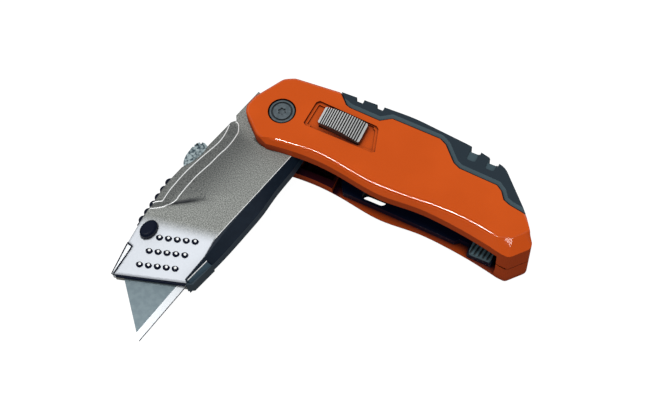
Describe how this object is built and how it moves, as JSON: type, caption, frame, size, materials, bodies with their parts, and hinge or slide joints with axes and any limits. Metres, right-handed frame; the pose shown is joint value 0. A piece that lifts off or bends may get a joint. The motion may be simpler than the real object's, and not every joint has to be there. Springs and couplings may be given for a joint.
{
  "type": "folding utility knife",
  "caption": "Folding utility knife with a sliding trapezoid blade, thumb slider, release button, slide lock and swing-out spare-blade tray.",
  "frame": {"origin": "on the pivot axis, in the plane of the handle's far side, which lies flat", "axes": "+X along the handle from the pivot to the butt, +Y to the spine, +Z through the thickness towards the side with the lock slide"},
  "size_m": [0.1169, 0.1003, 0.0249],
  "materials": {
    "orange_paint": "gloss orange paint on die-cast metal",
    "grip_rubber": "satin moulded rubber",
    "pad_rubber": "satin, lighter than the inlay",
    "dark_steel": "blackened, satin",
    "washer_plastic": "plain",
    "spring_steel": "plain",
    "cast_silver": "coarse silver coating",
    "dark_body": "dark satin coating",
    "black_plastic": "satin",
    "blade_steel": "ground, bright edge bevel",
    "slider_metal": "satin cast",
    "slide_grey": "satin"
  },
  "bodies": {
    "handle": {"near_shell": "orange_paint", "far_shell": "orange_paint", "near_grip": "grip_rubber", "far_grip": "grip_rubber", "grip_pads": "pad_rubber", "pivot_bolt": "dark_steel", "pivot_nut": "dark_steel", "pivot_washers": "washer_plastic", "shell_screws": "dark_steel", "lock_spring": "spring_steel", "tray_pin": "spring_steel"},
    "head": {"near_cover": "cast_silver", "far_cover": "cast_silver", "head_body": "dark_body", "pivot_bushing": "spring_steel", "thumb_rest": "black_plastic", "nose_guide": "black_plastic", "front_shoe": "dark_body", "release_spring": "spring_steel"},
    "blade_unit": {"blade": "blade_steel", "blade_carrier": "black_plastic", "thumb_slider": "slider_metal"},
    "release": {"release_button": "black_plastic"},
    "lock": {"lock_slide": "slide_grey", "lock_bolt": "spring_steel"},
    "tray": {"spare_tray": "black_plastic", "tray_tab": "black_plastic"}
  },
  "joints": [
    {"name": "head_fold", "type": "hinge", "parent": "handle", "child": "head", "pos_m": [0, 0, 0], "axis": [0, 0, 1], "range_deg": [-75, 90]},
    {"name": "blade_slide", "type": "slide", "parent": "head", "child": "blade_unit", "axis": [0.2028, 0.9792, 0], "range_m": [0, 0.023]},
    {"name": "release_press", "type": "slide", "parent": "head", "child": "release", "axis": [0, 0, -1], "range_m": [0, 0.0014], "stiffness_N_per_m": 700, "springref_m": -0.0015, "deforming": ["release_spring"]},
    {"name": "lock_slide", "type": "slide", "parent": "handle", "child": "lock", "axis": [1, 0, 0], "range_m": [-0.0016, 0.0014], "stiffness_N_per_m": 600, "deforming": ["lock_spring"]},
    {"name": "tray_swing", "type": "hinge", "parent": "handle", "child": "tray", "pos_m": [0.0285, -0.0045, 0], "axis": [0, 0, 1], "range_deg": [-26, 0]}
  ]
}
